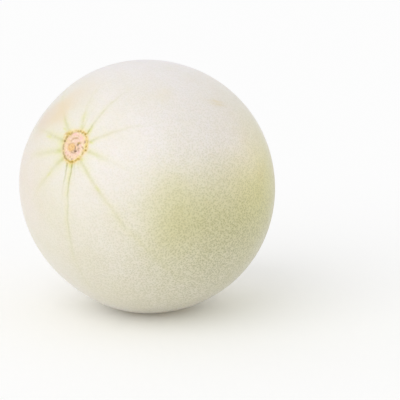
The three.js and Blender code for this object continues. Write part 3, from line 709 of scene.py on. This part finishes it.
def skin_material():
    mat = bpy.data.materials.new("rind")
    mat.use_nodes = True
    tree = mat.node_tree
    tree.nodes.clear()
    g = Graph(tree)
    out = g.add("ShaderNodeOutputMaterial")
    bsdf = g.add("ShaderNodeBsdfPrincipled")
    tree.links.new(bsdf.outputs[0], out.inputs[0])

    p = g.attr("fruit")                       # mm, stem axis along z
    unit = g.vec("NORMALIZE", p)

    def patch(polar, around, inner, outer, wobble=None, size=0.0):
        """1 inside `inner` degrees of a direction, 0 outside `outer`."""
        d = g.vec("DOT_PRODUCT", unit, axis_of(polar, around))
        a = g.math("MULTIPLY", g.math("ARCCOSINE", d), 1 / RAD)
        if wobble is not None:
            a = g.addup(a, g.math("MULTIPLY", g.math("SUBTRACT", wobble, 0.5), size))
        return g.span(a, inner, outer, 1.0, 0.0)

    # --- broad colour: cream, with a greener, more yellow flank; that flank's green and its darkening toward the lower right are partly the skin's own colour and partly painted shade and painted green reflected light ---
    broad, _ = g.noise(p, 1 / 30.0, 3.0, 0.55)
    medium, _ = g.noise(p, 1 / 9.0, 3.0, 0.6)
    sway = g.vec("SCALE", g.vec("SUBTRACT", g.noise(p, 1 / 40.0, 2.0)[1], (0.5, 0.5, 0.5)), scale=0.22)
    bent = g.vec("NORMALIZE", g.vec("ADD", unit, sway))
    total = None
    for polar, around, tight, gain in TINTS_AND_PAINTED_SHADE:
        near = g.math("SUBTRACT", g.vec("DOT_PRODUCT", bent, axis_of(polar, around)), 1.0)
        m = g.math("EXPONENT", g.math("MULTIPLY", near, tight))
        part = g.vec("SCALE", tuple(math.log(c) for c in gain), scale=m)
        total = part if total is None else g.vec("ADD", total, part)
    tr, tg, tb = [g.math("EXPONENT", c) for c in g.split(total)]
    tint = g.add("ShaderNodeCombineXYZ")
    for i, c in enumerate((tr, tg, tb)):
        g.plug(tint.inputs[i], c)
    cream = g.mix(g.span(broad, 0.3, 0.7), (CREAM[0] * 1.02, CREAM[1] * 1.02, CREAM[2] * 1.05, 1),
                  (CREAM[0] * 0.985, CREAM[1] * 0.985, CREAM[2] * 0.95, 1))
    colour = g.mix(1.0, cream, tint.outputs[0], "MULTIPLY")
    colour = g.mix(g.math("MULTIPLY", g.span(medium, 0.42, 0.72), 0.35), colour, (1.0, 0.975, 0.985, 1), "MULTIPLY")

    # --- fine mottle: a pale net over a slightly greener ground, stronger toward the lower right flank, where the darker ground is partly painted shade in the net's hollows ---
    warp = g.vec("ADD", p, g.vec("SCALE", g.vec("SUBTRACT", g.noise(p, 0.45, 1.0)[1], (0.5, 0.5, 0.5)), scale=1.0))
    cells = g.add("ShaderNodeTexVoronoi", voronoi_dimensions="3D", feature="F1", distance="EUCLIDEAN")
    g.plug(cells.inputs["Vector"], warp)
    cells.inputs["Scale"].default_value = 0.88
    cells.inputs["Randomness"].default_value = 0.85
    net = g.span(cells.outputs["Distance"], 0.15, 0.70)        # 1 along the pale threads
    grainy, _ = g.noise(p, 1.25, 1.0, 0.5)
    # the mottle grows stronger toward the lower right flank; there its darker hollows are partly the skin's own tone
    # and partly painted shade
    near = g.math("SUBTRACT", g.vec("DOT_PRODUCT", unit, axis_of(99, 330)), 1.0)
    depth = g.math("MULTIPLY_ADD", g.math("EXPONENT", g.math("MULTIPLY", near, 2.73)), 1.04, 0.157)
    depth = g.math("MULTIPLY", depth, g.span(g.vec("DOT_PRODUCT", unit, axis_of(8, 330)), 0.82, 0.96, 1.0, 0.66))
    hollow_tone_and_shade = g.mul(g.math("SUBTRACT", 1.0, net), depth)
    colour = g.mix(hollow_tone_and_shade, colour, (0.71, 0.72, 0.60, 1), "MULTIPLY")
    colour = g.mix(g.mul(g.span(grainy, 0.38, 0.62), depth), colour, (0.91, 0.91, 0.86, 1), "MULTIPLY")

    # --- radiating bundles ---
    drift = g.vec("SCALE", g.vec("SUBTRACT", g.noise(p, 1 / 15.0, 2.0)[1], (0.5, 0.5, 0.5)), scale=3.0)
    fray = g.vec("SCALE", g.vec("SUBTRACT", g.noise(p, 0.6, 2.0)[1], (0.5, 0.5, 0.5)), scale=0.5)
    q = g.vec("ADD", g.vec("ADD", p, drift), fray)
    q = g.vec("SUBTRACT", q, (VEIN_X0, VEIN_Y0, 0.0))
    patchy, _ = g.noise(p, 1 / 5.5, 2.0, 0.6)
    lines, bands = None, None
    for ang, off0, off1, s0, fall, s1, end, width, b0, b1, bwidth in VEINS:
        a = ang * RAD
        t = g.vec("DOT_PRODUCT", q, (math.cos(a), math.sin(a), 0))
        lean = (off1 - off0) / 30
        d = g.vec("DOT_PRODUCT", q, (-math.sin(a) - lean * math.cos(a), math.cos(a) - lean * math.sin(a), 0))
        d = g.math("SUBTRACT", d, off0 - 9 * lean)
        near = g.math("EXPONENT", g.math("MULTIPLY", g.math("SUBTRACT", t, 9.0), -1.0 / fall))
        gate = g.mul(g.span(t, 7.0, 9.5), g.span(t, 16, end + 4, 1.0, 0.0, smooth=False))
        gate = g.math("MULTIPLY", gate, g.span(g.split(p)[2], 0.0, 12.0))
        s = g.mul(g.math("MULTIPLY_ADD", near, s0 / 100, s1 / 100), gate, g.gauss(d, width * 0.78))
        b = g.mul(g.math("MULTIPLY_ADD", near, b0 / 100, b1 / 100), gate, g.gauss(d, bwidth))
        lines = s if lines is None else g.math("ADD", lines, s)
        bands = b if bands is None else g.math("ADD", bands, b)
    vary = g.span(patchy, 0.25, 0.7, 0.55, 1.25)
    lines, bands = g.math("MULTIPLY", lines, vary), g.math("MULTIPLY", bands, vary)
    colour = g.mix(g.math("MULTIPLY", lines, 2.1, clamp=True), colour, (0.50, 0.53, 0.20, 1), "MULTIPLY")
    colour = g.mix(g.math("MULTIPLY", bands, 1.55, clamp=True), colour, (0.93, 0.97, 0.38, 1), "MULTIPLY")
    ground, start, _ = g.split(g.attr("rest"))
    colour = g.mix(start, colour, (0.93, 0.965, 0.58, 1), "MULTIPLY")

    # --- blushes and rubbed marks ---
    def blush(strength, tint, polar, around, inner, outer):
        nonlocal colour
        m = patch(polar, around, inner, outer, medium, 7.0)
        colour = g.mix(g.math("MULTIPLY", m, strength), colour, tint)

    blush(0.42, srgb(241, 217, 178), 25.5, 141, 1.0, 9.5)
    blush(0.38, srgb(240, 218, 180), 25.0, 128, 1.0, 10.0)
    blush(0.34, srgb(241, 222, 190), 20.0, 138, 1.0, 8.5)
    blush(0.34, srgb(232, 210, 186), 33.0, 155, 1.0, 7.0)
    blush(0.25, srgb(243, 226, 204), 30.0, 112, 1.0, 14.0)
    blush(0.36, srgb(228, 202, 172), 29.0, 153, 1.0, 11.5)
    blush(0.24, srgb(236, 214, 180), 20.0, 143, 1.0, 9.0)
    blush(0.16, srgb(238, 220, 188), 24.0, 122, 1.0, 13.0)
    blush(0.22, srgb(232, 212, 184), 27.0, 168, 1.0, 9.0)
    blush(0.13, srgb(236, 219, 164), 17.5, 152, 1.0, 9.0)
    blush(0.20, srgb(238, 226, 200), 43.4, 52, 1.0, 7.0)
    blush(0.16, srgb(214, 190, 120), 92, 13.5, 0.5, 5.5)
    blush(0.30, srgb(232, 210, 170), 128, 205, 1.0, 9.0)
    blush(0.35, srgb(226, 206, 160), 84, 118, 0.5, 5.0)

    # a small rubbed mark: two short streaks side by side in a faint tan haze
    ap, aa = 68.4 * RAD, 43.4 * RAD
    worn = g.vec("ADD", p, g.vec("SCALE", g.vec("SUBTRACT", g.noise(p, 0.35, 2.0)[1], (0.5, 0.5, 0.5)), scale=1.2))
    along = g.vec("DOT_PRODUCT", worn, (math.cos(ap) * math.cos(aa), math.cos(ap) * math.sin(aa), -math.sin(ap)))
    across = g.vec("DOT_PRODUCT", worn, (-math.sin(aa), math.cos(aa), 0))
    here = g.span(g.vec("DOT_PRODUCT", unit, axis_of(68.4, 43.4)), 0.97, 0.99)
    haze = g.mul(g.gauss(along, 6.4), g.gauss(across, 2.9), here, 0.26)
    streak = g.math("ADD", g.gauss(g.math("SUBTRACT", across, 1.25), 0.8), g.gauss(g.math("ADD", across, 1.1), 0.85))
    colour = g.mix(haze, colour, srgb(226, 208, 168))
    colour = g.mix(g.mul(streak, g.gauss(along, 5.4), here, 0.26), colour, srgb(224, 204, 138))

    rosy = patch(42, 205, 2.0, 34.0, broad, 16.0)
    colour = g.mix(rosy, colour, (1.0, 0.955, 0.985, 1), "MULTIPLY")

    # --- ground spot ---
    patchy2 = g.span(medium, 0.3, 0.7, 0.6, 1.0)
    colour = g.mix(g.mul(ground, patchy2, 0.85), colour, srgb(226, 205, 138))
    colour = g.mix(g.mul(ground, g.span(grainy, 0.5, 0.7), 0.3), colour, srgb(196, 168, 108))

    # --- blossom end ---
    button, bdark, halo = g.split(g.attr("ends"))
    colour = g.mix(g.math("MULTIPLY", halo, 0.5), colour, srgb(226, 222, 160))
    colour = g.mix(g.math("MULTIPLY", button, 0.9), colour, srgb(222, 196, 150))
    colour = g.mix(g.math("MULTIPLY", bdark, 0.75), colour, srgb(128, 98, 62))

    # --- stem scar ---
    disc, gold, dark = g.split(g.attr("scar_a"))
    core, tan, pink = g.split(g.attr("scar_b"))
    olive, swirl, apron = g.split(g.attr("scar_c"))
    pale, amber, rib = g.split(g.attr("scar_d"))
    cork, _ = g.noise(p, 0.9, 3.0, 0.62)
    cork2, _ = g.noise(p, 2.2, 2.0, 0.6)
    colour = g.mix(g.mul(apron, 0.62), colour, srgb(241, 219, 168))
    flesh = g.mix(g.span(cork, 0.36, 0.66), srgb(249, 215, 187), srgb(255, 227, 206))
    flesh = g.mix(g.math("MULTIPLY", amber, 0.75), flesh, srgb(252, 221, 160))
    flesh = g.mix(g.math("MULTIPLY", pink, 0.85), flesh, srgb(254, 206, 208))
    flesh = g.mix(g.math("MULTIPLY", g.span(cork2, 0.52, 0.72), 0.30), flesh, srgb(228, 188, 154))
    flesh = g.mix(g.math("MULTIPLY", g.span(cork2, 0.48, 0.3), 0.30), flesh, srgb(255, 240, 222))
    inside = g.mix(g.span(cork2, 0.36, 0.64), srgb(253, 211, 147), srgb(234, 185, 117))
    inside = g.mix(g.math("MULTIPLY", swirl, 0.45), inside, srgb(255, 218, 160))
    flesh = g.mix(g.math("MULTIPLY", core, 0.92), flesh, inside)
    flesh = g.mix(g.math("MULTIPLY", tan, 0.75), flesh, srgb(205, 162, 102))
    flesh = g.mix(g.math("MULTIPLY", rib, 0.75), flesh, srgb(255, 214, 166))
    colour = g.mix(disc, colour, flesh)
    golden = g.mix(g.span(cork, 0.38, 0.62), srgb(255, 229, 152), srgb(238, 203, 116))
    colour = g.mix(g.math("MULTIPLY", gold, 0.95), colour, golden)
    colour = g.mix(olive, colour, srgb(190, 160, 62))
    colour = g.mix(g.math("MULTIPLY", pale, 0.90), colour, srgb(255, 244, 206))
    colour = g.mix(g.math("MULTIPLY", dark, 0.95), colour, srgb(112, 73, 24))
    tree.links.new(colour, bsdf.inputs["Base Color"])

    # --- finish ---
    ends = g.math("MAXIMUM", g.math("MAXIMUM", disc, gold), button, clamp=True)
    rough = g.span(medium, 0.3, 0.7, 0.40, 0.50)
    rough = g.math("MULTIPLY_ADD", net, -0.06, rough)
    mixr = g.add("ShaderNodeMix", data_type="FLOAT")
    g.plug(mixr.inputs[0], ends)
    g.plug(mixr.inputs[2], rough)
    mixr.inputs[3].default_value = 0.82
    tree.links.new(mixr.outputs[0], bsdf.inputs["Roughness"])
    bsdf.inputs["Specular IOR Level"].default_value = 0.40
    bsdf.inputs["Sheen Weight"].default_value = 0.50
    bsdf.inputs["Sheen Roughness"].default_value = 0.45
    bsdf.inputs["Sheen Tint"].default_value = (1.0, 0.97, 1.0, 1)
    bsdf.inputs["Subsurface Weight"].default_value = 0.10
    bsdf.inputs["Subsurface Radius"].default_value = (1.0, 0.75, 0.45)
    bsdf.inputs["Subsurface Scale"].default_value = 0.004

    pores, _ = g.noise(p, 2.4, 2.0, 0.6)
    height = g.addup(g.mul(net, depth, 0.10), g.math("MULTIPLY", pores, 0.018),
                     g.mul(cork2, ends, 0.10), g.mul(cork, ends, 0.12))
    b = g.add("ShaderNodeBump")
    b.inputs["Strength"].default_value = 0.55
    b.inputs["Distance"].default_value = 0.001
    g.plug(b.inputs["Height"], height)
    tree.links.new(b.outputs[0], bsdf.inputs["Normal"])
    return mat


mesh.materials.append(skin_material())
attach(melon, "root")
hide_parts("melon")

# ----------------------------------------------------------------------------
# Floor, light and camera
# ----------------------------------------------------------------------------
floor_mesh = bpy.data.meshes.new("floor")
n, far = 96, 30.0
ring = [(far * math.cos(2 * math.pi * k / n), far * math.sin(2 * math.pi * k / n), 0.0) for k in range(n)]
floor_mesh.from_pydata(ring, [], [tuple(range(n))])
floor = bpy.data.objects.new("floor", floor_mesh)
bpy.context.scene.collection.objects.link(floor)
floor_mat = bpy.data.materials.new("floor")
floor_mat.use_nodes = True
ft = floor_mat.node_tree
ft.nodes.clear()
floor_out = ft.nodes.new("ShaderNodeOutputMaterial")
bounce = ft.nodes.new("ShaderNodeBsdfDiffuse")
bounce.inputs["Color"].default_value = (0.90, 0.90, 0.90, 1)
sight = ft.nodes.new("ShaderNodeBsdfDiffuse")
sight.inputs["Color"].default_value = (0.97, 0.97, 0.97, 1)
floor_path = ft.nodes.new("ShaderNodeLightPath")
floor_mix = ft.nodes.new("ShaderNodeMixShader")
ft.links.new(floor_path.outputs["Is Camera Ray"], floor_mix.inputs[0])
under = ft.nodes.new("ShaderNodeEmission")
under.inputs["Color"].default_value = (1, 1, 1, 1)
under.inputs["Strength"].default_value = 0.05
bright = ft.nodes.new("ShaderNodeAddShader")
ft.links.new(bounce.outputs[0], bright.inputs[0])
ft.links.new(under.outputs[0], bright.inputs[1])
ft.links.new(bright.outputs[0], floor_mix.inputs[1])
glow = ft.nodes.new("ShaderNodeEmission")
glow.inputs["Color"].default_value = (1, 1, 1, 1)
glow.inputs["Strength"].default_value = 0.08
lit = ft.nodes.new("ShaderNodeAddShader")
ft.links.new(sight.outputs[0], lit.inputs[0])
ft.links.new(glow.outputs[0], lit.inputs[1])
ft.links.new(lit.outputs[0], floor_mix.inputs[2])
ft.links.new(floor_mix.outputs[0], floor_out.inputs[0])
floor_mesh.materials.append(floor_mat)

CAM_AZ, CAM_EL, CAM_FAR = 36.265, 12.5, 1.0     # where the camera stands, degrees and metres
LENS = 150.65
AIM = Vector((0.0257052, 0.0166349, -0.0080856))   # the point looked at, from the fruit's centre

a, e = CAM_AZ * RAD, CAM_EL * RAD
back = Vector((math.sin(a) * math.cos(e), -math.cos(a) * math.cos(e), math.sin(e)))
camera_data = bpy.data.cameras.new("camera")
camera_data.lens = LENS
camera_data.sensor_width = 36.0
camera_data.dof.use_dof = False
camera_data.clip_start, camera_data.clip_end = 0.01, 100.0
camera = bpy.data.objects.new("camera", camera_data)
bpy.context.scene.collection.objects.link(camera)
camera.location = CENTRE + back * CAM_FAR
camera.rotation_mode = "QUATERNION"
camera.rotation_quaternion = (CENTRE + AIM - camera.location).to_track_quat("-Z", "Y")
bpy.context.scene.camera = camera

right = Vector((math.cos(a), math.sin(a), 0.0))
above = right.cross(-back)


def sun(name, direction, strength, angle):
    data = bpy.data.lights.new(name, "SUN")
    data.energy = strength
    data.angle = angle * RAD
    ob = bpy.data.objects.new(name, data)
    ob.rotation_mode = "QUATERNION"
    ob.rotation_quaternion = direction.to_track_quat("Z", "Y")
    bpy.context.scene.collection.objects.link(ob)
    return ob


sun("key", -0.51 * right + 0.50 * above + 0.68 * back, 0.73, 60)

# A plain pale tent all round.
world = bpy.data.worlds.new("world")
bpy.context.scene.world = world
world.use_nodes = True
wt = world.node_tree
dome = wt.nodes["Background"]
dome.inputs["Color"].default_value = (1, 1, 1, 1)
dome.inputs["Strength"].default_value = 0.777
seen = wt.nodes.new("ShaderNodeBackground")
seen.inputs["Color"].default_value = (1, 1, 1, 1)
seen.inputs["Strength"].default_value = 1.0
path = wt.nodes.new("ShaderNodeLightPath")
both = wt.nodes.new("ShaderNodeMixShader")
wt.links.new(path.outputs["Is Camera Ray"], both.inputs[0])
wt.links.new(dome.outputs[0], both.inputs[1])
wt.links.new(seen.outputs[0], both.inputs[2])
wt.links.new(both.outputs[0], wt.nodes["World Output"].inputs[0])

view = bpy.context.scene.view_settings
view.view_transform = "Standard"
view.look = "None"
view.exposure = 0.0
view.gamma = 1.0
